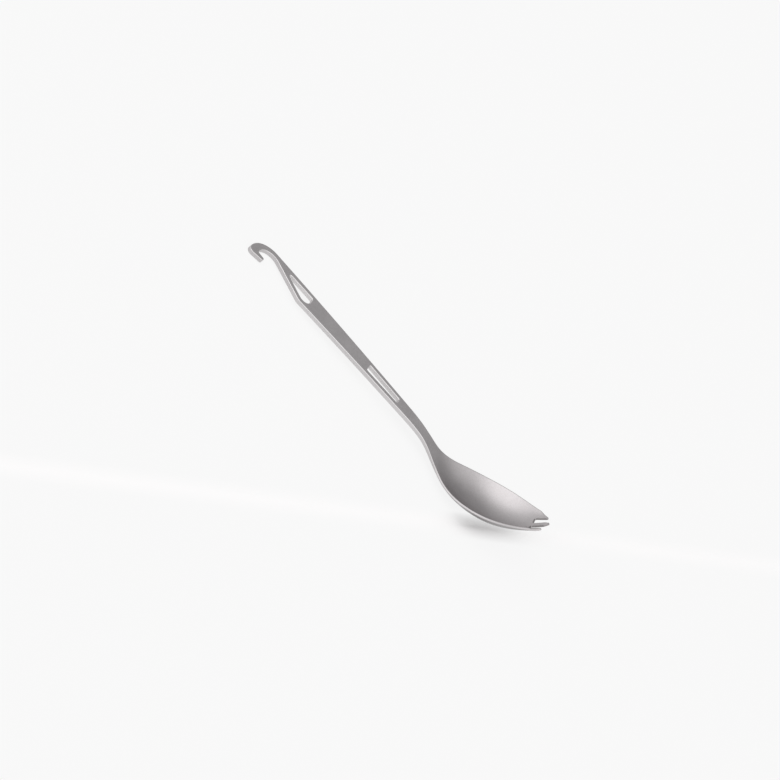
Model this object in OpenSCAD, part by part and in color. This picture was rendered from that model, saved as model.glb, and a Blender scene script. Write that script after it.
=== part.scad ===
// Camping spork cut from one flat titanium sheet and pressed to shape.
// The design frame runs u along the handle from the crook's end to the tine tips,
// y across, and h up from the handle's upper face where it meets the neck.
// The finished piece is tilted to lie as it rests on a table.

/* [Sheet] */
// Thickness of the handle
sheet_t = 2.4; // [1.8:0.1:3.0]
// Thickness of the thinned bowl
bowl_t = 1.2; // [0.9:0.1:1.6]

/* [Handle] */
// Width of the handle at the corner below the crook
handle_w = 14; // [12:0.5:18]
// Width of the neck above the bowl
neck_w = 8.4; // [7:0.2:11]
// Distance from the crook's end to the handle's corner
corner_u = 36.3; // [34:0.5:42]
// Length of the handle, from the crook's end to the start of the neck's bend
neck_u = 117; // [112:1:122]
// Radius of the handle's gentle lengthwise bow
bow_r = 3750; // [2500:50:9000]
// Distance from the handle's corner to the plain flat run
plain_lead = 9.7; // [7.7:0.5:13]

/* [Crook] */
// Distance below the axis at which the crook's outer curve ends
crook_foot = 5.1; // [4:0.1:5.2]
// Radius of the crook's throat
throat_r = 7.7; // [6.5:0.1:8.2]
// Width of the crook's end bar
end_bar = 5; // [4:0.1:6]
// Height of the flank's line above the axis at the throat wall
flank_rise = 9.08; // [8.8:0.02:9.4]
// Distance from the crook's end to the tip of the lip
lip_l = 9.6; // [8.4:0.1:9.9]
// Distance below the axis of the lip's inner root
lip_in = 4.15; // [4:0.05:4.8]
// Distance below the axis of the lip's outer root
lip_out = 8.7; // [8.3:0.1:9.4]
// Slope of the lip's inner side along the lip
lip_in_drop = 0.75; // [0.2:0.05:0.9]
// Width of the lip's blunt tip
lip_tip_w = 2.1; // [1.8:0.05:2.4]

/* [Cut-outs] */
// Width of the metal left beside the cut-outs
web_w = 2.85; // [2.4:0.05:3.1]
// Distance from the handle's corner to the end of the tapered cut-out
wedge_lead = 5.5; // [4:0.1:7]
// Length of the long slot
slot_l = 22.6; // [18:0.1:26]
// Distance from the long slot to the start of the neck's bend
slot_lead = 8.4; // [6:0.1:12]
// Plain metal left between the flat run and the long slot
slot_margin = 2; // [1:0.1:4]

/* [Bowl] */
// Overall width of the bowl
bowl_w = 35.4; // [32:0.2:40]
// Distance from the neck's bend to the bowl's widest place
wide_l = 58.5; // [55:0.5:61]
// Distance from the widest place to the shoulder of the outer tines
shoulder_l = 23.5; // [21.5:0.2:24.5]
// Width across the shoulders
shoulder_w = 20.2; // [18:0.2:22]
// Distance from the neck's bend to the rim's lowest level
rim_low_l = 34.2; // [32:0.2:37]
// Drop of the rim below the handle at its lowest level
rim_low = 4.65; // [3.5:0.05:6]
// Rise of the rim line at the tines above the handle
rim_top = 19.6; // [18:0.1:21]
// Distance from the neck's bend to the start of the dish
dish_lead = 14; // [11:0.5:17]
// Distance from the neck's bend to the bottom of the dish
dish_l = 45; // [42:0.5:48]
// Depth of the dish's bottom below the handle
dish_low = 8.6; // [7.6:0.1:9.8]
// Exponent of the dish's cross-section
dish_power = 2.1; // [1.9:0.1:2.6]
// Exponent of the cross-section at the tines
tine_power = 2.4; // [2.1:0.1:3.0]

/* [Tines] */
// Distance from the shoulder to the middle tine's tip, along the handle
tip_l = 5.6; // [5:0.1:7]
// Rise of the middle tine's tip above the handle
tip_h = 19.8; // [18.5:0.1:21]
// Rise of the slots' roots above the handle
root_h = 11.6; // [11:0.1:12.2]
// Distance from the shoulder to the roots of the slots, along the handle
root_l = 0.9; // [0.2:0.1:1.4]
// Slope of the tines against the handle
tine_pitch = 57; // [54:0.5:60]
// Length of the outer tines from the slots' roots
side_tine_l = 8.1; // [7.4:0.1:8.6]
// Length of the middle tine from the slots' roots
mid_tine_l = 9.9; // [9:0.1:10.4]
// Straight length of the middle tine
mid_straight_l = 6.7; // [5.5:0.1:7]
// Width of the middle tine
mid_tine_w = 3.4; // [2.8:0.1:4]
// Width of each slot between tines
tine_gap = 3.8; // [3:0.1:4.2]

/* [Smoothness] */
// Stations along the bowl
bowl_steps = 46; // [30:1:60]
// Divisions across the bowl
cross_steps = 20; // [12:2:24]

/* [Hidden] */

// Overruns of the cuts past the metal
over = 8;
tine_over = 14;

// Fineness of the corner arcs, of the halvings and of the slopes taken from heights
arc_steps = 14;
solve_steps = 28;
slope_step = 0.02;

// Corner radii
corner_r = 5;
lip_root_r = 2.8;
lip_tip_r = 0.9;
throat_foot_r = 0.6;
wedge_tip_r = 1.2;
wedge_near_r = 4;
wedge_far_r = 1.2;
slot_r = 0.7;
tine_tip_r = 0.65;
tine_root_r = 0.8;
mid_shoulder_r = 0.8;

// Run and rise of the bevel on the outer tines
bevel_l = 6;
bevel_w = 4.8;

// Runs of the handle's side profile, before and after the plain flat run
crook_run = 22;
slot_run = 16;

// Length of the handle's tongue in the neck's metal, and how far it draws in there
tongue_l = 1.2;
tongue_in = 0.2;

// Control lengths of the outline's curves, from neck to widest place to shoulder
outline_l = 11.4;
outline_h1 = 22.9;
outline_h2 = 23.7;
outline_h3 = 10.9;
outline_h4 = 5.35;
shoulder_slope = 0.46;

// Control lengths of the rim's curves, which run on past the shoulder
rim_l = 5;
rim_h1 = 20.5;
rim_h2 = 14.4;
rim_h3 = 17.8;
rim_h4 = 1.4;
rim_slope = 3;

// Control lengths of the dish's floor curves
floor_h1 = 9;
floor_h2 = 8;
floor_h3 = 25.5;
floor_h4 = 5;
tip_slope = 2.2;

// Where the thickness changes from handle to bowl, after the neck's bend
thin_lead = 1;
thin_l = 40;

// Spare length of the pressed sheet past the tines' tips before they are cut
spare_l = 2.2;

// Places along the handle, from the crook's end
wedge_end = corner_u + wedge_lead;
plain_start = corner_u + plain_lead;
slot_end = neck_u - slot_lead;
slot_start = slot_end - slot_l;
plain_end = slot_start - slot_margin;
crook_break = plain_start - crook_run;
slot_break = plain_end + slot_run;

// Places along the bowl, from the crook's end
outline_u = neck_u + outline_l;
dish_start = neck_u + dish_lead;
rim_low_u = neck_u + rim_low_l;
dish_u = neck_u + dish_l;
wide_u = neck_u + wide_l;
shoulder_u = wide_u + shoulder_l;
root_u = shoulder_u + root_l;
tip_u = shoulder_u + tip_l;
rim_u = shoulder_u + rim_l;
thin_start = neck_u + thin_lead;
thin_end = thin_start + thin_l;

function bezier(p, t) =
    pow(1 - t, 3) * p[0] + 3 * pow(1 - t, 2) * t * p[1]
    + 3 * (1 - t) * pow(t, 2) * p[2] + pow(t, 3) * p[3];

// Height of a curve at a distance along, by halving; straight past its end
function solve(p, x, lo, hi, n) =
    n == 0 ? bezier(p, (lo + hi) / 2)[1]
    : bezier(p, (lo + hi) / 2)[0] < x
        ? solve(p, x, (lo + hi) / 2, hi, n - 1)
        : solve(p, x, lo, (lo + hi) / 2, n - 1);

function curve(a, b, x) =
    x <= a[0][0] ? a[0][1]
    : x < a[3][0] ? solve(a, x, 0, 1, solve_steps)
    : x < b[3][0] ? solve(b, x, 0, 1, solve_steps)
    : b[3][1] + (x - b[3][0]) * (b[3][1] - b[2][1]) / (b[3][0] - b[2][0]);

function ease(s) = let (c = min(1, max(0, s))) c * c * (3 - 2 * c);

// Half width of the tapered handle
taper = (handle_w - neck_w) / 2 / (outline_u - corner_u);
function handle_half(u) = neck_w / 2 + taper * (outline_u - u);

// Half width of the whole piece from the neck on
outline_a = [[outline_u, neck_w / 2], [outline_u + outline_h1, neck_w / 2],
             [wide_u - outline_h2, bowl_w / 2], [wide_u, bowl_w / 2]];
outline_b = [[wide_u, bowl_w / 2], [wide_u + outline_h3, bowl_w / 2],
             [shoulder_u - outline_h4, shoulder_w / 2 + shoulder_slope * outline_h4],
             [shoulder_u, shoulder_w / 2]];
function half(u) = u < outline_u ? handle_half(u) : curve(outline_a, outline_b, u);

// Level of the rim
rim_a = [[neck_u, 0], [neck_u + rim_h1, 0], [rim_low_u - rim_h2, -rim_low], [rim_low_u, -rim_low]];
rim_b = [[rim_low_u, -rim_low], [rim_low_u + rim_h3, -rim_low],
         [rim_u - rim_h4, rim_top - rim_slope * rim_h4], [rim_u, rim_top]];
function rim(u) = curve(rim_a, rim_b, u);

// Level of the dish's floor on the axis
dish_fall = (rim(dish_start + slope_step) - rim(dish_start)) / slope_step;
floor_a = [[dish_start, rim(dish_start)],
           [dish_start + floor_h1, rim(dish_start) + dish_fall * floor_h1],
           [dish_u - floor_h2, -dish_low], [dish_u, -dish_low]];
floor_b = [[dish_u, -dish_low], [dish_u + floor_h3, -dish_low],
           [tip_u - floor_h4, tip_h - tip_slope * floor_h4], [tip_u, tip_h]];
function floor_level(u) = u <= dish_start ? rim(u) : curve(floor_a, floor_b, u);

// Upper face of the pressed sheet at share q of the half width
function face(u, q) =
    let (low = floor_level(u),
         power = dish_power + (tine_power - dish_power) * ease((u - wide_u) / (root_u - wide_u)))
    [u, q * half(u), low + (rim(u) - low) * pow(abs(q), power)];

function unit(v) = v / norm(v);
function normal(u, q) =
    u <= neck_u ? [0, 0, 1]
    : unit(cross(face(u + slope_step, q) - face(u - slope_step, q),
                 face(u, min(1, q + slope_step)) - face(u, max(-1, q - slope_step))));

function thickness(u) = sheet_t + (bowl_t - sheet_t) * ease((u - thin_start) / (thin_end - thin_start));
function underside(u, q) = face(u, q) - thickness(u) * normal(u, q);

// The handle's upper face follows its bow in straight runs
function bow(u) = -pow(neck_u - u, 2) / (2 * bow_r);
runs = [0, crook_break, plain_start, plain_end, slot_break, neck_u];

// Tilt that rests the piece on the dish's underside and the crook's lower edge
end_low = bow(0) - sheet_t;
stations = [for (i = [0 : bowl_steps]) neck_u + (tip_u + spare_l - neck_u) * i / bowl_steps];
rest_tilt = -min([for (u = stations) let (p = underside(u, 0)) atan2(p[2] - end_low, p[0])]);

// Points of an arc that rounds corner b between a and c
function rounded(a, b, c, r) =
    let (d = unit(a - b), e = unit(c - b), w = acos(d * e) / 2,
         m = b + unit(d + e) * r / sin(w),
         s = b + d * r / tan(w) - m, f = b + e * r / tan(w) - m,
         s_a = atan2(s[1], s[0]), turn = (atan2(f[1], f[0]) - s_a + 540) % 360 - 180)
    [for (i = [0 : arc_steps]) m + r * [cos(s_a + turn * i / arc_steps), sin(s_a + turn * i / arc_steps)]];

// An outline from corners [point, radius]; a radius of zero stays sharp
function outline(v) =
    [for (i = [0 : len(v) - 1])
        each v[i][1] == 0 ? [v[i][0]]
             : rounded(v[(i + len(v) - 1) % len(v)][0], v[i][0], v[(i + 1) % len(v)][0], v[i][1])];

// Radius of the crook's outer curve, from the far edge round to its foot
crook_r = (handle_half(0) + crook_foot) * tan(45 - atan(taper) / 2);

// Plan of the handle with its crook
handle_plan = outline([
    [[neck_u, handle_half(neck_u)], 0],
    [[0, handle_half(0)], crook_r],
    [[0, -lip_out], lip_root_r],
    [[lip_l, -lip_in - lip_in_drop - lip_tip_w], lip_tip_r],
    [[lip_l, -lip_in - lip_in_drop], lip_tip_r],
    [[end_bar, -lip_in], throat_foot_r],
    [[end_bar, flank_rise], throat_r],
    [[corner_u, -handle_half(corner_u)], corner_r],
    [[neck_u, -handle_half(neck_u)], 0],
    [[neck_u + tongue_l, tongue_in - handle_half(neck_u)], 0],
    [[neck_u + tongue_l, handle_half(neck_u) - tongue_in], 0],
]);

// The flank runs straight from the throat wall to the handle's corner
flank_angle = atan2(flank_rise + handle_half(corner_u), corner_u - end_bar);
function flank(u) = flank_rise - (u - end_bar) * tan(flank_angle);

// The tapered cut-out: one side along the axis, one along the flank
wedge_lift = web_w / cos(flank_angle);
wedge_side = handle_half(wedge_end) - web_w;
wedge_tip_u = end_bar + (flank_rise + wedge_lift - wedge_side) / tan(flank_angle);
wedge_plan = outline([
    [[wedge_tip_u, wedge_side], wedge_tip_r],
    [[wedge_end, flank(wedge_end) + wedge_lift], wedge_near_r],
    [[wedge_end, wedge_side], wedge_far_r],
]);

slot_plan = outline([
    [[slot_start, handle_half(slot_start) - web_w], slot_r],
    [[slot_start, web_w - handle_half(slot_start)], slot_r],
    [[slot_end, web_w - handle_half(slot_end)], slot_r],
    [[slot_end, handle_half(slot_end) - web_w], slot_r],
]);

// Flat handle: its plan cut through its bowed side profile
module handle_strip() {
    intersection() {
        translate([0, 0, bow(0) - sheet_t - over])
            linear_extrude(sheet_t - bow(0) + over + over)
                difference() {
                    polygon(handle_plan);
                    polygon(wedge_plan);
                    polygon(slot_plan);
                }
        translate([0, handle_w, 0])
            rotate([90, 0, 0])
                linear_extrude(handle_w + handle_w)
                    polygon(concat([for (u = runs) [u, bow(u)]],
                                   [[neck_u + tongue_l, -tongue_in], [neck_u + tongue_l, tongue_in - sheet_t]],
                                   [for (i = [len(runs) - 1 : -1 : 0]) [runs[i], bow(runs[i]) - sheet_t]]));
    }
}

// Neck and bowl as one closed skin: rows of the upper face, then rows of the underside
module pressed_bowl() {
    row = cross_steps + 1;
    rows = len(stations);
    lower = row * rows;
    qs = [for (j = [0 : cross_steps]) 2 * j / cross_steps - 1];
    points = concat([for (u = stations) for (q = qs) face(u, q)],
                    [for (u = stations) for (q = qs) underside(u, q)]);
    faces = concat(
        [for (i = [0 : rows - 2]) for (j = [0 : cross_steps - 1]) let (a = i * row + j)
            each [[a, a + 1, a + row + 1], [a, a + row + 1, a + row]]],
        [for (i = [0 : rows - 2]) for (j = [0 : cross_steps - 1]) let (a = lower + i * row + j)
            each [[a, a + row + 1, a + 1], [a, a + row, a + row + 1]]],
        [for (i = [0 : rows - 2]) let (a = i * row, b = a + row)
            each [[a, b, lower + b], [a, lower + b, lower + a]]],
        [for (i = [0 : rows - 2]) let (a = i * row + cross_steps, b = a + row)
            each [[a, lower + b, b], [a, lower + a, lower + b]]],
        [for (j = [0 : cross_steps - 1])
            each [[j, lower + j, lower + j + 1], [j, lower + j + 1, j + 1]]],
        [for (j = [0 : cross_steps - 1]) let (a = lower - row + j, b = lower + a)
            each [[a, b + 1, b], [a, a + 1, b + 1]]]);
    polyhedron(points, faces, convexity = 6);
}

// Waste around the tines, as a prism square to them
mid_half = mid_tine_w / 2;
gap_edge = mid_half + tine_gap;
waste_half = bowl_w / 2;
waste_back = side_tine_l - (waste_half - gap_edge) * bevel_l / bevel_w;
tine_waste = outline([
    [[mid_tine_l + tine_over, -waste_half], 0],
    [[waste_back, -waste_half], 0],
    [[side_tine_l, -gap_edge], tine_tip_r],
    [[0, -gap_edge], tine_root_r],
    [[0, -mid_half], tine_root_r],
    [[mid_straight_l, -mid_half], mid_shoulder_r],
    [[mid_tine_l, 0], tine_tip_r],
    [[mid_straight_l, mid_half], mid_shoulder_r],
    [[0, mid_half], tine_root_r],
    [[0, gap_edge], tine_root_r],
    [[side_tine_l, gap_edge], tine_tip_r],
    [[waste_back, waste_half], 0],
    [[mid_tine_l + tine_over, waste_half], 0],
]);

module tine_cutter() {
    translate([root_u, 0, root_h])
        rotate([0, -tine_pitch, 0])
            translate([0, 0, -tine_over])
                linear_extrude(tine_over + tine_over)
                    polygon(tine_waste);
}

// Underside of the middle tine's rounded tip, by halving
mid_flank = atan2(mid_half, mid_tine_l - mid_straight_l);
tip_reach = mid_tine_l + tine_tip_r - tine_tip_r / sin(mid_flank);
function along(p) = (p[0] - root_u) * cos(tine_pitch) + (p[2] - root_h) * sin(tine_pitch);
function tip_at(lo, hi, n) =
    let (p = underside((lo + hi) / 2, 0))
    n == 0 ? p
    : along(p) < tip_reach ? tip_at((lo + hi) / 2, hi, n - 1) : tip_at(lo, (lo + hi) / 2, n - 1);

// Ends of the piece at rest, for centring it
tip_end = tip_at(root_u, tip_u + spare_l, solve_steps);
low_x = -bow(0) * sin(rest_tilt);
high_x = tip_end[0] * cos(rest_tilt) - tip_end[2] * sin(rest_tilt);
lift = -end_low * cos(rest_tilt);

module spork() {
    color("darkgray")
        translate([-(low_x + high_x) / 2, 0, lift])
            rotate([0, -rest_tilt, 0])
                difference() {
                    union() {
                        handle_strip();
                        pressed_bowl();
                    }
                    tine_cutter();
                }
}

spork();
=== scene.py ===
import math

import bpy
import numpy as np
from mathutils import Matrix, Vector
from mathutils.geometry import delaunay_2d_cdt


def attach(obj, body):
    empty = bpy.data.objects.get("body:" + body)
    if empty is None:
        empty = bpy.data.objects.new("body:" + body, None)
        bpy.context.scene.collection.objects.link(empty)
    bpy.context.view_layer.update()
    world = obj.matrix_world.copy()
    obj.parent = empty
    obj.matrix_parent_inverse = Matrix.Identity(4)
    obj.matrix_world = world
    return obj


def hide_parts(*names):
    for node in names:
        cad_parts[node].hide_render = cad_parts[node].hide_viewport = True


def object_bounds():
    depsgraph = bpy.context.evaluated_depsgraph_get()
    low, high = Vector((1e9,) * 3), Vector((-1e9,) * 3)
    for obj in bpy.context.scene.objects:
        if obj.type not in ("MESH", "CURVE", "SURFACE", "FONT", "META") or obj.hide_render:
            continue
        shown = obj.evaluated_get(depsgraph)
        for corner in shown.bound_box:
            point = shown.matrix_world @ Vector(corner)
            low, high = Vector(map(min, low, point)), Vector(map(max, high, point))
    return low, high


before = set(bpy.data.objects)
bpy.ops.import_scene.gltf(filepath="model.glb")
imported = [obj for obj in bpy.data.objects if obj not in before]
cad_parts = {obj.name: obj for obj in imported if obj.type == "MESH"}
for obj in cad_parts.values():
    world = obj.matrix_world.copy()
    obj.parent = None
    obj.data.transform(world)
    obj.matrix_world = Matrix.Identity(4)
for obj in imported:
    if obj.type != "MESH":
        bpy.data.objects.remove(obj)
solid_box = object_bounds()

# The spork: one piece of titanium alloy plate, cut to its outline with two cut-outs and the slots
# between the tines, then pressed and thinned into the bowl, its edges broken, and bead-blasted.
# Sizes are in millimetres: u along the handle from the crook, y across it, h up from the neck.
SHEET = 2.4
BOWL_SHEET = 1.2
THIN_FROM = 118.0
THIN_TO = 158.0


def ease(s):
    """Smooth step: 3s² − 2s³ with s held between 0 and 1."""
    s = np.clip(s, 0, 1)
    return s * s * (3 - 2 * s)


def thickness(u):
    """Full plate on the handle, eased down to the pressed bowl's thickness."""
    return SHEET + (BOWL_SHEET - SHEET) * ease((u - THIN_FROM) / (THIN_TO - THIN_FROM))


# The plate's sides, as cut: a straight taper from the corner beside the crook to the neck, then two
# cubic curves that meet where the bowl is widest. Pulls are the lengths of the curves' end tangents.
HANDLE_W = 14.0
NECK_W = 8.4
CORNER_U = 36.3
OUTLINE_U = 128.4
BOWL_W = 35.4
WIDE_U = 175.5
SHOULDER_U = 199.0
SHOULDER_W = 20.2
SHOULDER_SLOPE = 0.46
NECK_PULL = 22.9
TO_WIDE_PULL = 23.7
FROM_WIDE_PULL = 10.9
SHOULDER_PULL = 5.35
CURVE_HALVINGS = 34
TAPER = (HANDLE_W - NECK_W) / 2 / (OUTLINE_U - CORNER_U)
OUTLINE_A = (
    (OUTLINE_U, NECK_W / 2),
    (OUTLINE_U + NECK_PULL, NECK_W / 2),
    (WIDE_U - TO_WIDE_PULL, BOWL_W / 2),
    (WIDE_U, BOWL_W / 2),
)
OUTLINE_B = (
    (WIDE_U, BOWL_W / 2),
    (WIDE_U + FROM_WIDE_PULL, BOWL_W / 2),
    (SHOULDER_U - SHOULDER_PULL, SHOULDER_W / 2 + SHOULDER_SLOPE * SHOULDER_PULL),
    (SHOULDER_U, SHOULDER_W / 2),
)


def bezier(points, t):
    """Cubic curve: the four points weighted by the Bernstein polynomials of t."""
    t = np.asarray(t)[..., None]
    a, b, c, d = (np.asarray(p, float) for p in points)
    return (1 - t) ** 3 * a + 3 * (1 - t) ** 2 * t * b + 3 * (1 - t) * t ** 2 * c + t ** 3 * d


def height(points, x):
    """Height of a cubic curve above x, by halving its parameter until the curve passes over x."""
    low = np.zeros_like(x)
    high = np.ones_like(x)
    for _ in range(CURVE_HALVINGS):
        mid = (low + high) / 2
        short = bezier(points, mid)[..., 0] < x
        low, high = np.where(short, mid, low), np.where(short, high, mid)
    return bezier(points, (low + high) / 2)[..., 1]


def two_curves(first, second, x):
    """First curve, then second, then straight on at the second one's last slope."""
    bx, by = second[2]
    ex, ey = second[3]
    straight = ey + (x - ex) * (ey - by) / (ex - bx)
    return np.where(x < first[3][0], height(first, x), np.where(x < ex, height(second, x), straight))


def half_width(u):
    """Straight taper along the handle, then the pressed bowl's two outline curves."""
    return np.where(u < OUTLINE_U, NECK_W / 2 + TAPER * (OUTLINE_U - u), two_curves(OUTLINE_A, OUTLINE_B, u))


# The plate seen from its side, as pressed: the handle is bowed very slightly, and from the neck on
# the rim dips and then rises to the tines.
NECK_U = 117.0
BOW_R = 3750.0
RIM_LOW_U = 151.2
RIM_LOW = 4.65
RIM_U = 204.0
RIM_TOP = 19.6
RIM_SLOPE = 3.0
DIP_PULL = 20.5
TO_LOW_PULL = 14.4
FROM_LOW_PULL = 17.8
TOP_PULL = 1.4
RIM_A = (
    (NECK_U, 0),
    (NECK_U + DIP_PULL, 0),
    (RIM_LOW_U - TO_LOW_PULL, -RIM_LOW),
    (RIM_LOW_U, -RIM_LOW),
)
RIM_B = (
    (RIM_LOW_U, -RIM_LOW),
    (RIM_LOW_U + FROM_LOW_PULL, -RIM_LOW),
    (RIM_U - TOP_PULL, RIM_TOP - RIM_SLOPE * TOP_PULL),
    (RIM_U, RIM_TOP),
)


def rim(u):
    """The handle's shallow bow, then the rim's fall from the neck and its rise to the tines."""
    return np.where(u < NECK_U, -(NECK_U - u) ** 2 / (2 * BOW_R), two_curves(RIM_A, RIM_B, u))


# The bowl, dished by a rounded die: its floor is the lowest line, along the middle, and the upper
# face curves up from there to the rim, flatter in the middle the nearer it is to the tines.
DISH_FROM = 131.0
DISH_U = 162.0
DISH_LOW = 8.6
DISH_POWER = 2.1
TINE_POWER = 2.4
TIP_U = 204.6
TIP_H = 19.8
TIP_SLOPE = 2.2
ROOT_U = 199.9
ROOT_H = 11.6
SLOPE_STEP = 0.02
START_PULL = 9.0
TO_FLOOR_PULL = 8.0
FROM_FLOOR_PULL = 25.5
TIP_PULL = 5.0
DISH_START = rim(np.array([DISH_FROM, DISH_FROM + SLOPE_STEP]))
DISH_FALL = (DISH_START[1] - DISH_START[0]) / SLOPE_STEP
FLOOR_A = (
    (DISH_FROM, DISH_START[0]),
    (DISH_FROM + START_PULL, DISH_START[0] + DISH_FALL * START_PULL),
    (DISH_U - TO_FLOOR_PULL, -DISH_LOW),
    (DISH_U, -DISH_LOW),
)
FLOOR_B = (
    (DISH_U, -DISH_LOW),
    (DISH_U + FROM_FLOOR_PULL, -DISH_LOW),
    (TIP_U - TIP_PULL, TIP_H - TIP_SLOPE * TIP_PULL),
    (TIP_U, TIP_H),
)


def upper(u, y):
    """Height of the upper face: the floor's level plus its depth times |y / half width| to a power."""
    low = np.where(u <= DISH_FROM, rim(u), two_curves(FLOOR_A, FLOOR_B, u))
    power = DISH_POWER + (TINE_POWER - DISH_POWER) * ease((u - WIDE_U) / (ROOT_U - WIDE_U))
    return low + (rim(u) - low) * np.abs(y / half_width(u)) ** power


def sheet_point(u, y, depth):
    """Point on the upper face at (u, y), moved down the face's normal by depth."""
    e = SLOPE_STEP
    du = (upper(u + e, y) - upper(u - e, y)) / (2 * e)
    dy = (upper(u, y + e) - upper(u, y - e)) / (2 * e)
    normal = np.stack([-du, -dy, np.ones_like(du)], -1) / np.sqrt(1 + du ** 2 + dy ** 2)[..., None]
    return np.stack([u, y, upper(u, y)], -1) - np.asarray(depth)[..., None] * normal, normal


# The three tines, cut square to their own slope from the pressed end: a pointed middle one and two
# outer ones with a bevel each. They are drawn by distance along the slope from the slots' roots.
TINE_PITCH = math.radians(57)
SIDE_L = 8.1
MID_L = 9.9
MID_STRAIGHT = 6.7
MID_W = 3.4
TINE_GAP = 3.8
TINE_TIP_R = 0.65
TINE_ROOT_R = 0.8
MID_SHOULDER_R = 0.8
SHOULDER_R = 1.2
BEVEL_RUN = 6.0
BEVEL_RISE = 4.8
MID_HALF = MID_W / 2
GAP_EDGE = MID_HALF + TINE_GAP
RIM_STEP = 0.7
LEAST_ARC = 7
ARC_STEP = 0.4


def rounded(a, b, c, r):
    """Arc of radius r that rounds corner b between a and c."""
    a, b, c = (np.asarray(p, float) for p in (a, b, c))
    d = (a - b) / np.linalg.norm(a - b)
    e = (c - b) / np.linalg.norm(c - b)
    w = math.acos(float(d @ e)) / 2
    centre = b + (d + e) / np.linalg.norm(d + e) * r / math.sin(w)
    first = b + d * r / math.tan(w) - centre
    last = b + e * r / math.tan(w) - centre
    start = math.atan2(first[1], first[0])
    turn = (math.atan2(last[1], last[0]) - start + 3 * math.pi) % (2 * math.pi) - math.pi
    t = start + turn * np.linspace(0, 1, max(LEAST_ARC, int(abs(turn) * r / ARC_STEP)))
    return centre + r * np.stack([np.cos(t), np.sin(t)], -1)


def filled_in(loop, step, closed=True):
    """Path with points added along any side that is longer than step."""
    side = np.roll(loop, -1, axis=0) - loop
    n = np.maximum(1, np.ceil(np.linalg.norm(side, axis=1) / step).astype(int))
    n[-1] = n[-1] if closed else 1
    k = np.repeat(np.arange(len(loop)), n)
    j = np.arange(n.sum()) - np.repeat(np.cumsum(n) - n, n)
    return loop[k] + side[k] * (j / n[k])[:, None]


def along_tines(u, y):
    """Distance of the upper face's point from the slots' roots, along the tines' direction."""
    return (u - ROOT_U) * math.cos(TINE_PITCH) + (upper(u, y) - ROOT_H) * math.sin(TINE_PITCH)


# stations along the piece between which every point of the tines lies
TINES_BEGIN = 190.0
TINES_END = 209.0
TINE_HALVINGS = 40


def from_tines(points):
    """Plan points (u, y) of points (distance along the tines, y), by halving u."""
    t = points[:, 0]
    y = points[:, 1]
    low = np.full_like(t, TINES_BEGIN)
    high = np.full_like(t, TINES_END)
    for _ in range(TINE_HALVINGS):
        mid = (low + high) / 2
        short = along_tines(mid, y) < t
        low, high = np.where(short, mid, low), np.where(short, high, mid)
    return np.stack([(low + high) / 2, y], -1)


# the shoulder, where the rim's outline meets the bevel on an outer tine, and a point 3 mm before it
RIM_SAMPLES = 4000
RIM_SAMPLED_TO = 203
SAMPLES_BACK = 40
BEFORE_SHOULDER = 3
rim_u = np.linspace(TINES_BEGIN, RIM_SAMPLED_TO, RIM_SAMPLES)
rim_t = along_tines(rim_u, half_width(rim_u))
over_bevel = half_width(rim_u) - (GAP_EDGE + (SIDE_L - rim_t) * BEVEL_RISE / BEVEL_RUN)
at = int(np.argmax(over_bevel > 0))
back = at - SAMPLES_BACK
shoulder = np.array([rim_t[at], half_width(rim_u)[at]])
run_in = np.array([rim_t[at] - rim_t[back], half_width(rim_u)[at] - half_width(rim_u)[back]])
before = shoulder - BEFORE_SHOULDER * run_in / np.linalg.norm(run_in)

far_half = np.concatenate([
    rounded((MID_STRAIGHT, -MID_HALF), (MID_L, 0), (MID_STRAIGHT, MID_HALF), TINE_TIP_R)[LEAST_ARC // 2:],
    rounded((MID_L, 0), (MID_STRAIGHT, MID_HALF), (0, MID_HALF), MID_SHOULDER_R),
    rounded((MID_STRAIGHT, MID_HALF), (0, MID_HALF), (0, GAP_EDGE), TINE_ROOT_R),
    rounded((0, MID_HALF), (0, GAP_EDGE), (SIDE_L, GAP_EDGE), TINE_ROOT_R),
    rounded((0, GAP_EDGE), (SIDE_L, GAP_EDGE), shoulder, TINE_TIP_R),
    rounded((SIDE_L, GAP_EDGE), shoulder, before, SHOULDER_R),
])
TOO_CLOSE = 0.02
both_halves = np.concatenate([far_half[::-1] * (1, -1), far_half])
tines = from_tines(filled_in(both_halves, RIM_STEP / 2, closed=False))
tines = tines[np.linalg.norm(tines - np.roll(tines, 1, axis=0), axis=1) > TOO_CLOSE]
BOWL_STATIONS = 130
bowl_u = np.linspace(NECK_U, tines[-1, 0], BOWL_STATIONS)[1:-1]
bowl_side = np.stack([bowl_u, half_width(bowl_u)], -1)

# The handle's end, cut to an open crook that lifts a pot by its wire bail. The outer curve runs from
# the far edge round to the crook's foot, and the flank from the throat down to the handle's corner.
CROOK_FOOT = 5.1
THROAT_R = 7.7
THROAT_FOOT_R = 0.6
END_BAR = 5.0
FLANK_RISE = 9.08
LIP_L = 9.6
LIP_IN = 4.15
LIP_OUT = 8.7
LIP_DROP = 0.75
LIP_TIP_W = 2.1
LIP_ROOT_R = 2.8
LIP_TIP_R = 0.9
CORNER_R = 5.0
SQUARE_R = 0.01
CROOK_R = (half_width(np.array(0.0)) + CROOK_FOOT) * math.tan(math.pi / 4 - math.atan(TAPER) / 2)
FLANK_ANGLE = math.atan2(FLANK_RISE + HANDLE_W / 2, CORNER_U - END_BAR)


def outline(corners):
    """Closed outline of corners (u, y, radius), each rounded by its arc."""
    n = len(corners)
    return np.concatenate([
        rounded(corners[i - 1][:2], corners[i][:2], corners[(i + 1) % n][:2], corners[i][2])
        for i in range(n)
    ])


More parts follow.
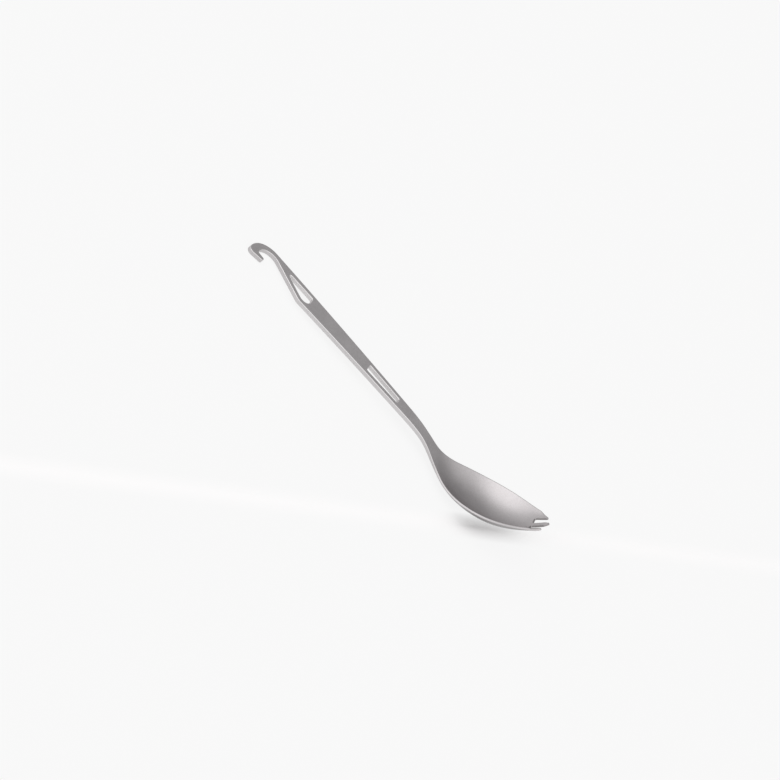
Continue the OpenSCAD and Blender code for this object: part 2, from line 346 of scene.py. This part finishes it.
handle = np.concatenate([
    [[NECK_U, half_width(np.array(NECK_U))]],
    outline([
        (NECK_U, half_width(np.array(NECK_U)), SQUARE_R),
        (0, half_width(np.array(0.0)), CROOK_R),
        (0, -LIP_OUT, LIP_ROOT_R),
        (LIP_L, -LIP_IN - LIP_DROP - LIP_TIP_W, LIP_TIP_R),
        (LIP_L, -LIP_IN - LIP_DROP, LIP_TIP_R),
        (END_BAR, -LIP_IN, THROAT_FOOT_R),
        (END_BAR, FLANK_RISE, THROAT_R),
        (CORNER_U, -half_width(np.array(CORNER_U)), CORNER_R),
        (NECK_U, -half_width(np.array(NECK_U)), SQUARE_R),
    ])[LEAST_ARC:-LEAST_ARC],
    [[NECK_U, -half_width(np.array(NECK_U))]],
])
edge = np.concatenate([handle, bowl_side * (1, -1), tines, bowl_side[::-1]])

# The cut-outs, one tapered for a cord and one long and slightly narrowing to save weight, cut right
# through the handle. Both leave a web of the same width along the handle's sides.
WEB = 2.85
WEDGE_END = 41.8
WEDGE_TIP_R = 1.2
WEDGE_NEAR_R = 4.0
WEDGE_FAR_R = 1.2
SLOT_FROM = 86.0
SLOT_TO = 108.6
SLOT_R = 0.7
wedge_lift = WEB / math.cos(FLANK_ANGLE)
wedge_side = float(half_width(np.array(WEDGE_END))) - WEB
wedge_tip = END_BAR + (FLANK_RISE + wedge_lift - wedge_side) / math.tan(FLANK_ANGLE)
wedge_near = FLANK_RISE - (WEDGE_END - END_BAR) * math.tan(FLANK_ANGLE) + wedge_lift
wedge = outline([
    (wedge_tip, wedge_side, WEDGE_TIP_R),
    (WEDGE_END, wedge_near, WEDGE_NEAR_R),
    (WEDGE_END, wedge_side, WEDGE_FAR_R),
])[::-1]
slot_a = float(half_width(np.array(SLOT_FROM))) - WEB
slot_b = float(half_width(np.array(SLOT_TO))) - WEB
slot = outline([
    (SLOT_FROM, slot_a, SLOT_R),
    (SLOT_FROM, -slot_a, SLOT_R),
    (SLOT_TO, -slot_b, SLOT_R),
    (SLOT_TO, slot_b, SLOT_R),
])[::-1]
loops = [filled_in(loop, RIM_STEP) for loop in (edge, wedge, slot)]

# The cut edges, broken to a small round by tumbling, above and below, all along the outline and both
# cut-outs. Guard rows of points just past each round keep the faces' shading flat up to it.
EDGE_R = 0.34
EDGE_GUARD = 0.12
EDGE_STEPS = 5


def inward(loop):
    """Plan direction of one millimetre into the metal, square to the loop and lying in the face."""
    point, normal = sheet_point(loop[:, 0], loop[:, 1], np.zeros(len(loop)))
    tangent = np.roll(point, -1, axis=0) - np.roll(point, 1, axis=0)
    into = np.cross(normal, tangent)
    return (into / np.linalg.norm(into, axis=1)[:, None])[:, :2]


arc = np.linspace(0, math.pi / 2, EDGE_STEPS)
inset = np.concatenate([[EDGE_R + EDGE_GUARD], EDGE_R * (1 - np.sin(arc)), [0]])
sunk = np.concatenate([[0], EDGE_R * (1 - np.cos(arc)), [EDGE_R + EDGE_GUARD]])
rows = len(inset)

boundary = np.concatenate(loops)
into = np.concatenate([inward(loop) for loop in loops])
plan = boundary[None] + into[None] * np.concatenate([inset, inset[::-1]])[:, None, None]
plate = thickness(plan[rows:, :, 0])
depth = np.concatenate([np.broadcast_to(sunk[:, None], (rows, len(boundary))), plate - sunk[::-1][:, None]])
wall, _ = sheet_point(plan[..., 0], plan[..., 1], depth)

# The upper face and the underside, blasted metal: a net of triangles fills the outline around both
# cut-outs. It is laid out by distance along the axis, in which the steep tines aren't foreshortened.
SKIN_STEP = 0.85
AXIS_FROM = -2
AXIS_TO = 212
AXIS_SAMPLES = 6000
axis_u = np.linspace(AXIS_FROM, AXIS_TO, AXIS_SAMPLES)
axis_rise = np.diff(upper(axis_u, np.zeros_like(axis_u)))
axis_s = np.concatenate([[0], np.cumsum(np.hypot(np.diff(axis_u), axis_rise))])
ends = np.cumsum([0] + [len(loop) for loop in loops])
inner = np.stack([np.interp(plan[0, :, 0], axis_u, axis_s), plan[0, :, 1]], -1)
rings = [inner[a:b] for a, b in zip(ends[:-1], ends[1:])]
NO_RISE = 1e-12
AT_A_TIME = 2000


def within(points, ring):
    """Even-odd test: whether a line from each point crosses the ring an odd number of times."""
    a = ring
    b = np.roll(ring, -1, axis=0)
    x = points[:, None, 0]
    y = points[:, None, 1]
    spans = (a[None, :, 1] > y) != (b[None, :, 1] > y)
    rise = np.where(b[:, 1] == a[:, 1], NO_RISE, b[:, 1] - a[:, 1])
    cross = a[None, :, 0] + (y - a[None, :, 1]) * ((b[:, 0] - a[:, 0]) / rise)[None]
    return (spans & (x < cross)).sum(1) % 2 == 1


def in_metal(points):
    """Inside the outer ring and outside both cut-outs, a few thousand points at a time."""
    parts = np.array_split(points, max(1, len(points) // AT_A_TIME))
    return np.concatenate([within(p, rings[0]) & ~within(p, rings[1]) & ~within(p, rings[2]) for p in parts])


# points inside the neck and the bowl, in staggered rows, none of them close to the edge's own points
NET_FROM = NECK_U - 3
NET_TO = 207
NET_HALF = 18
ROW_STEP = SKIN_STEP * 0.9
STAGGER = SKIN_STEP * 0.45
CLEAR_OF_EDGE = SKIN_STEP * 0.55
GAP_PARTS = 8
s_lo, s_hi = np.interp([NET_FROM, NET_TO], axis_u, axis_s)
grid_s, grid_y = np.meshgrid(
    np.arange(s_lo, s_hi, SKIN_STEP), np.arange(-NET_HALF, NET_HALF + 0.1, ROW_STEP), indexing="ij")
grid_y = grid_y + (np.arange(grid_s.shape[0]) % 2)[:, None] * STAGGER
field = np.stack([grid_s.ravel(), grid_y.ravel()], -1)
field = field[in_metal(field)]
gap = np.concatenate([
    np.linalg.norm(p[:, None] - inner[None], axis=2).min(1) for p in np.array_split(field, GAP_PARTS)])
field = field[gap > CLEAR_OF_EDGE]

flat = np.concatenate([inner, field])
sides = np.concatenate([
    np.stack([np.arange(a, b), np.roll(np.arange(a, b), -1)], -1) for a, b in zip(ends[:-1], ends[1:])])
SAME_POINT = 1e-7
made = delaunay_2d_cdt([Vector(p) for p in flat.tolist()], sides.tolist(), [], 0, SAME_POINT)
skin_flat = np.array([tuple(v) for v in made[0]])
tris = np.array([f for f in made[2] if len(f) == 3])
tris = tris[in_metal(skin_flat[tris].mean(1))]
assert len(skin_flat) == len(flat)
a, b, c = (skin_flat[tris[:, i]] for i in range(3))
turned = (b - a)[:, 0] * (c - a)[:, 1] - (b - a)[:, 1] * (c - a)[:, 0] < 0
tris[turned] = tris[turned][:, ::-1]

skin_u = np.concatenate([plan[0, :, 0], np.interp(field[:, 0], axis_s, axis_u)])
skin_y = flat[:, 1]
top, _ = sheet_point(skin_u, skin_y, np.zeros(len(flat)))
under, _ = sheet_point(skin_u, skin_y, thickness(skin_u))

# both faces and the walls between them, joined into one closed skin with its faces outwards
m = len(boundary)
n = len(flat)
points = np.concatenate([top, under, wall[1:-1].reshape(-1, 3)])
row_of = [np.arange(m)] + [2 * n + r * m + np.arange(m) for r in range(2 * rows - 2)] + [n + np.arange(m)]
nxt = np.concatenate([np.roll(np.arange(p, q), -1) for p, q in zip(ends[:-1], ends[1:])])
quads = np.concatenate([np.stack([hi, lo, lo[nxt], hi[nxt]], -1) for hi, lo in zip(row_of[:-1], row_of[1:])])
faces = tris.tolist() + (tris[:, ::-1] + n).tolist() + quads.tolist()

# the piece lies on its crook and on the bottom of its bowl, a hair inside the solid's box
CLEARANCE = 0.01
MM_PER_M = 1000
LOW_STATIONS = 47
PAST_TIP = 2.2
low_u = np.linspace(NECK_U, TIP_U + PAST_TIP, LOW_STATIONS)
low_line, _ = sheet_point(low_u, np.zeros(LOW_STATIONS), thickness(low_u))
end_low = float(rim(np.array(0.0))) - SHEET
tilt = -np.arctan2(low_line[:, 2] - end_low, low_line[:, 0]).min()
turn_up = np.array([[math.cos(tilt), 0, math.sin(tilt)], [0, 1, 0], [-math.sin(tilt), 0, math.cos(tilt)]])
points = points @ turn_up
to_tines = solid_box[1][0] * MM_PER_M - CLEARANCE - points[:, 0].max()
offset = np.array([to_tines, 0, CLEARANCE - points[:, 2].min()])
points = (points + offset) / MM_PER_M

mesh = bpy.data.meshes.new("pressed_spork")
mesh.from_pydata(points.tolist(), [], faces)
mesh.polygons.foreach_set("use_smooth", np.ones(len(mesh.polygons), bool))
mesh.update()


def mark(name, values):
    """Stores one value for each point of the skin, under a name that the metal's finish reads."""
    mesh.attributes.new(name, "FLOAT", "POINT").data.foreach_set("value", values.astype(np.float32))


# how worn each point is: 1 on the broken edges, 0 on the faces and little on the cut walls
WALL_WEAR = 0.35
wear_row = np.concatenate([np.sin(2 * arc) ** 0.5, [WALL_WEAR], [WALL_WEAR], np.sin(2 * arc[::-1]) ** 0.5])
worn = np.zeros(len(points))
worn[2 * n:] = np.repeat(wear_row, m)
mark("edge_wear", worn)

# how far each point was pressed: 0 on the handle, 1 in the bowl, where the die smoothed the metal. The same
# mask also darkens the bowl's colour a little, as painted shade
wall_u = plan[1:-1, :, 0]
along_u = np.concatenate([skin_u, skin_u, wall_u.ravel()])
smoothed = ease((along_u - THIN_FROM) / (THIN_TO - THIN_FROM))
mark("pressed", smoothed)

# painted light on the cut walls, mixed towards a lighter colour than the blasted faces: most in the two
# cut-outs, less along the handle's outside and least round the crook, none on the bowl's rim, which the
# pressing turned up
IN_CUT_OUTS = 0.55
ALONG_HANDLE = 0.38
ROUND_CROOK = 0.1
CORNER_LEAD = 10
CROOK_FADE = 15
AFTER_NECK = 20
NECK_FADE = 18
past_crook = ease((wall_u - CORNER_U + CORNER_LEAD) / CROOK_FADE)
before_bowl = 1 - ease((wall_u - NECK_U - AFTER_NECK) / NECK_FADE)
outside = (ROUND_CROOK + (ALONG_HANDLE - ROUND_CROOK) * past_crook) * before_bowl
painted_wall_light = np.zeros(len(points))
painted_wall_light[2 * n:] = np.where(np.arange(m) < ends[1], outside, IN_CUT_OUTS).ravel()
mark("painted_wall_light", painted_wall_light)

# painted shade, a darker colour: nearly whole on the bowl's underside and in the slots between the tines, a
# third of it on the rim, none on the handle
UNDERSIDE_SHADE = 0.9
SLOT_SHADE = 0.85
RIM_SHADE = 0.34
BEFORE_ROOT = 1
PAST_GAP = 0.3
in_slots = (boundary[:, 0] > ROOT_U - BEFORE_ROOT) & (np.abs(boundary[:, 1]) < GAP_EDGE + PAST_GAP)
shade_amount = np.zeros(len(points))
shade_amount[n:2 * n] = UNDERSIDE_SHADE * smoothed[n:2 * n]
shade_amount[2 * n:] = np.where(np.tile(in_slots, 2 * rows - 2), SLOT_SHADE, RIM_SHADE) * smoothed[2 * n:]
mark("painted_shade", shade_amount)

spork = bpy.data.objects.new("pressed_spork", mesh)
bpy.context.collection.objects.link(spork)
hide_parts("spork")
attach(spork, "root")


def linear(hex_colour):
    """Linear RGBA of an sRGB hex colour."""
    value = np.array([int(hex_colour[i:i + 2], 16) for i in (1, 3, 5)]) / 255
    value = np.where(value <= 0.04045, value / 12.92, ((value + 0.055) / 1.055) ** 2.4)
    return (*value.tolist(), 1.0)


def add(tree, kind, values=None, links=None, **settings):
    """Adds one node, with its settings, its input values and its incoming links."""
    node = tree.nodes.new(kind)
    for name, value in settings.items():
        setattr(node, name, value)
    for name, value in (values or {}).items():
        node.inputs[name].default_value = value
    for name, socket in (links or {}).items():
        tree.links.new(socket, node.inputs[name])
    return node


# Bead-blasted titanium: a satin, slightly warm grey metal whose fine pits scatter the light.
# Handling and tumbling leave the broken edges smoother and lighter than the faces.
FACE_DULL = "#BDBABB"
FACE_LIGHT = "#C3C0C1"
IN_THE_PITS = "#E4E2E1"
BOWL_PAINTED_SHADE = "#F6F5F5"
WORN_EDGE = "#CECBCC"
PAINTED_WALL_LIGHT = "#E8E6E6"
PAINTED_SHADE_TONE = "#AFADAD"
BLASTED_ROUGHNESS = 0.5
PRESSED_ROUGHNESS = 0.3
WORN_ROUGHNESS = 0.3
PATCH_WIDTH = 0.012
PIT_WIDTH = 0.0004
# a colour mix node's inputs: how much, the first colour and the second; and its colour output
HOW_MUCH, FIRST, SECOND = 0, 6, 7
MIXED = 2

titanium = bpy.data.materials.new("bead_blasted_titanium")
titanium.use_nodes = True
tree = titanium.node_tree
tree.nodes.clear()
place = add(tree, "ShaderNodeTexCoord").outputs["Object"]
# clouding left by blasting by hand, in patches about 12 mm across
cloud = add(tree, "ShaderNodeTexNoise", {"Scale": 1 / PATCH_WIDTH, "Detail": 3.0, "Roughness": 0.55},
            {"Vector": place})
# pits are 0.05 mm wide in the real finish; drawn at 0.4 mm so that they show
pits = add(tree, "ShaderNodeTexNoise", {"Scale": 1 / PIT_WIDTH, "Detail": 2.0, "Roughness": 0.6},
           {"Vector": place})
tone = add(tree, "ShaderNodeValToRGB", links={"Fac": cloud.outputs["Fac"]})
tone.color_ramp.elements[0].position = 0.3
tone.color_ramp.elements[0].color = linear(FACE_DULL)
tone.color_ramp.elements[1].position = 0.7
tone.color_ramp.elements[1].color = linear(FACE_LIGHT)
pit_depth = add(tree, "ShaderNodeMapRange",
                {"From Min": 0.42, "From Max": 0.62, "To Min": 0.0, "To Max": 0.5},
                {"Value": pits.outputs["Fac"]})
speck = add(tree, "ShaderNodeMix", {SECOND: linear(IN_THE_PITS)},
            {HOW_MUCH: pit_depth.outputs["Result"], FIRST: tone.outputs["Color"]},
            data_type="RGBA", blend_type="MULTIPLY")
pressed = add(tree, "ShaderNodeAttribute", attribute_name="pressed")
# painted shade: the colour is multiplied a little darker over the pressed bowl
bowl_shaded = add(tree, "ShaderNodeMix", {SECOND: linear(BOWL_PAINTED_SHADE)},
              {HOW_MUCH: pressed.outputs["Fac"], FIRST: speck.outputs[MIXED]},
              data_type="RGBA", blend_type="MULTIPLY")
wear = add(tree, "ShaderNodeAttribute", attribute_name="edge_wear")
rubbed = add(tree, "ShaderNodeMix", {SECOND: linear(WORN_EDGE)},
             {HOW_MUCH: wear.outputs["Fac"], FIRST: bowl_shaded.outputs[MIXED]}, data_type="RGBA")
wall_light_mask = add(tree, "ShaderNodeAttribute", attribute_name="painted_wall_light")
# painted light: the cut walls are mixed towards a lighter colour
walls_lit = add(tree, "ShaderNodeMix", {SECOND: linear(PAINTED_WALL_LIGHT)},
              {HOW_MUCH: wall_light_mask.outputs["Fac"], FIRST: rubbed.outputs[MIXED]}, data_type="RGBA")
painted_shade = add(tree, "ShaderNodeAttribute", attribute_name="painted_shade")
# painted shade: the colour is multiplied darker on the bowl's underside, in the tines' slots and on the rim
colour = add(tree, "ShaderNodeMix", {SECOND: linear(PAINTED_SHADE_TONE)},
             {HOW_MUCH: painted_shade.outputs["Fac"], FIRST: walls_lit.outputs[MIXED]},
             data_type="RGBA", blend_type="MULTIPLY")
satin = add(tree, "ShaderNodeMapRange", {"To Min": BLASTED_ROUGHNESS, "To Max": PRESSED_ROUGHNESS},
            {"Value": pressed.outputs["Fac"]})
dull = add(tree, "ShaderNodeMapRange", {"To Max": WORN_ROUGHNESS},
           {"Value": wear.outputs["Fac"], "To Min": satin.outputs["Result"]})
uneven = add(tree, "ShaderNodeMath", {1: 0.1}, {0: cloud.outputs["Fac"]}, operation="MULTIPLY")
rough = add(tree, "ShaderNodeMath", links={0: dull.outputs["Result"], 1: uneven.outputs["Value"]},
            operation="ADD")
relief = add(tree, "ShaderNodeBump", {"Strength": 0.12, "Distance": 0.0001}, {"Height": pits.outputs["Fac"]})
metal = add(tree, "ShaderNodeBsdfPrincipled", {"Metallic": 1.0},
            {"Base Color": colour.outputs[MIXED], "Roughness": rough.outputs["Value"],
             "Normal": relief.outputs["Normal"]})
add(tree, "ShaderNodeOutputMaterial", links={"Surface": metal.outputs["BSDF"]})
mesh.materials.append(titanium)

# The board under the piece: a wide, level sheet of satin white card. Most of what the camera and
# mirrored rays see of it is plain white, which keeps its shadows faint. In one straight band across
# the whole board, which passes under the bowl, the card itself shows, and the bowl's shadow with it.
FLOOR_HALF = 4.0
CARD = "#F6F5F5"
GRAIN_WIDTH = 0.05
PLAIN_WHITE = 0.94
ACROSS_BAND = (0.82, -0.57, 0)
BAND_AT = 0.0702
BAND_HALF = 0.008
WHITE_IN_BAND = 0.05
WHITE_BESIDE = 0.92
board = bpy.data.meshes.new("floor")
board.from_pydata(
    [(-FLOOR_HALF, -FLOOR_HALF, 0), (FLOOR_HALF, -FLOOR_HALF, 0), (FLOOR_HALF, FLOOR_HALF, 0),
     (-FLOOR_HALF, FLOOR_HALF, 0)], [], [(0, 1, 2, 3)])
floor = bpy.data.objects.new("floor", board)
bpy.context.collection.objects.link(floor)
card = bpy.data.materials.new("satin_white_board")
card.use_nodes = True
tree = card.node_tree
tree.nodes.clear()
board_place = add(tree, "ShaderNodeTexCoord").outputs["Object"]
grain = add(tree, "ShaderNodeTexNoise", {"Scale": 1 / GRAIN_WIDTH, "Detail": 2.0}, {"Vector": board_place})
sheen = add(tree, "ShaderNodeMapRange", {"To Min": 0.3, "To Max": 0.36}, {"Value": grain.outputs["Fac"]})
board_face = add(tree, "ShaderNodeBsdfPrincipled", {"Base Color": linear(CARD), "Specular IOR Level": 0.35},
                 {"Roughness": sheen.outputs["Result"]})
white = add(tree, "ShaderNodeEmission", {"Strength": PLAIN_WHITE})
ray = add(tree, "ShaderNodeLightPath")
seen = add(tree, "ShaderNodeMath", links={0: ray.outputs["Is Camera Ray"], 1: ray.outputs["Is Glossy Ray"]},
           operation="MAXIMUM")
clear = add(tree, "ShaderNodeMath", links={0: seen.outputs["Value"], 1: ray.outputs["Is Transmission Ray"]},
            operation="MAXIMUM")
along = add(tree, "ShaderNodeVectorMath", {1: ACROSS_BAND}, {0: board_place}, operation="DOT_PRODUCT")
from_middle = add(tree, "ShaderNodeMath", {1: BAND_AT}, {0: along.outputs["Value"]}, operation="SUBTRACT")
off_band = add(tree, "ShaderNodeMath", links={0: from_middle.outputs["Value"]}, operation="ABSOLUTE")
whitened = add(tree, "ShaderNodeMapRange",
               {"From Min": 0.0, "From Max": BAND_HALF, "To Min": WHITE_IN_BAND, "To Max": WHITE_BESIDE},
               {"Value": off_band.outputs["Value"]})
share = add(tree, "ShaderNodeMath", links={0: clear.outputs["Value"], 1: whitened.outputs["Result"]},
            operation="MULTIPLY")
board_look = add(tree, "ShaderNodeMixShader", links={
    0: share.outputs["Value"], 1: board_face.outputs["BSDF"], 2: white.outputs["Emission"]})
add(tree, "ShaderNodeOutputMaterial", links={"Surface": board_look.outputs["Shader"]})
board.materials.append(card)

# The studio, a smooth pale light from all round: dimmer high beyond the piece, with a soft box high
# past the tines and a soft glow over the crook on the near side, which the metal mirrors. A white
# band runs along the horizon.
BEYOND = (0.417, 0.738, 0.531)
OVER_TINES = (0.789, -0.206, 0.578)
OVER_CROOK = (-0.644, -0.535, 0.548)
ROOM_LEVEL = 0.96
BEYOND_LEVEL = 0.35
BOX_LEVEL = 0.68
GLOW_LEVEL = 0.98
HORIZON_LEVEL = 0.93
world = bpy.data.worlds.new("studio")
world.use_nodes = True
tree = world.node_tree
tree.nodes.clear()
way = add(tree, "ShaderNodeTexCoord").outputs["Generated"]
beyond = add(tree, "ShaderNodeVectorMath", {1: BEYOND}, {0: way}, operation="DOT_PRODUCT")
pale = add(tree, "ShaderNodeMapRange",
           {"From Min": 0.05, "From Max": 1.0, "To Min": ROOM_LEVEL, "To Max": BEYOND_LEVEL},
           {"Value": beyond.outputs["Value"]}, interpolation_type="SMOOTHSTEP")
over_tines = add(tree, "ShaderNodeVectorMath", {1: OVER_TINES}, {0: way}, operation="DOT_PRODUCT")
box = add(tree, "ShaderNodeMapRange",
          {"From Min": 0.265, "From Max": 1.0, "To Min": 0.0, "To Max": BOX_LEVEL},
          {"Value": over_tines.outputs["Value"]}, interpolation_type="SMOOTHSTEP")
over_crook = add(tree, "ShaderNodeVectorMath", {1: OVER_CROOK}, {0: way}, operation="DOT_PRODUCT")
glow = add(tree, "ShaderNodeMapRange",
           {"From Min": 0.675, "From Max": 1.0, "To Min": 0.0, "To Max": GLOW_LEVEL},
           {"Value": over_crook.outputs["Value"]}, interpolation_type="SMOOTHSTEP")
lamps = add(tree, "ShaderNodeMath", links={0: box.outputs["Result"], 1: glow.outputs["Result"]},
            operation="ADD")
both = add(tree, "ShaderNodeMath", links={0: pale.outputs["Result"], 1: lamps.outputs["Value"]},
           operation="ADD")
way_up = add(tree, "ShaderNodeSeparateXYZ", links={"Vector": way})
over_band = add(tree, "ShaderNodeMapRange", {"From Min": 0.04, "From Max": 0.1},
                {"Value": way_up.outputs["Z"]})
level_of = add(tree, "ShaderNodeMix", {"A": HORIZON_LEVEL},
               {"Factor": over_band.outputs["Result"], "B": both.outputs["Value"]})
room = add(tree, "ShaderNodeBackground", {"Color": (1, 1, 1, 1)}, {"Strength": level_of.outputs["Result"]})
add(tree, "ShaderNodeOutputWorld", links={"Surface": room.outputs["Background"]})
bpy.context.scene.world = world
bpy.context.scene.view_settings.view_transform = "Standard"

# The camera: a long lens from the near side, a third of the way up, rolled so that the handle falls
# across the frame. A point on the handle's plain run stands at its pixel of the square frame.
FRAME_SIDE = 780
FRAME_MIDDLE = 390
PIXELS_PER_MM = 1.984
DISTANCE = 2500.0
HANDLE_FALL = math.radians(48.9)
AIM_POINT = np.array([72.15, 0, -0.3])
AIM_PIXEL = (350.7, 347.1)
CLIP_END = 50
toward = np.array([-0.115, -0.855, 0.506])
toward /= np.linalg.norm(toward)
level = np.cross([0, 0, 1], toward)
level /= np.linalg.norm(level)
raised = np.cross(toward, level)
roll = math.atan2(raised[0], level[0]) + HANDLE_FALL
right = level * math.cos(roll) + raised * math.sin(roll)
above = -level * math.sin(roll) + raised * math.cos(roll)
off_middle = right * (FRAME_MIDDLE - AIM_PIXEL[0]) - above * (FRAME_MIDDLE - AIM_PIXEL[1])
aim = AIM_POINT + off_middle / PIXELS_PER_MM
eye = (aim @ turn_up + offset + DISTANCE * (toward @ turn_up)) / MM_PER_M
camera = bpy.data.cameras.new("camera")
camera.lens = PIXELS_PER_MM * DISTANCE * camera.sensor_width / FRAME_SIDE
camera.clip_end = CLIP_END
viewer = bpy.data.objects.new("camera", camera)
axes = np.stack([right @ turn_up, above @ turn_up, toward @ turn_up], 1)
viewer.matrix_world = Matrix.Translation(Vector(eye.tolist())) @ Matrix(axes.tolist()).to_4x4()
bpy.context.collection.objects.link(viewer)
bpy.context.scene.camera = viewer
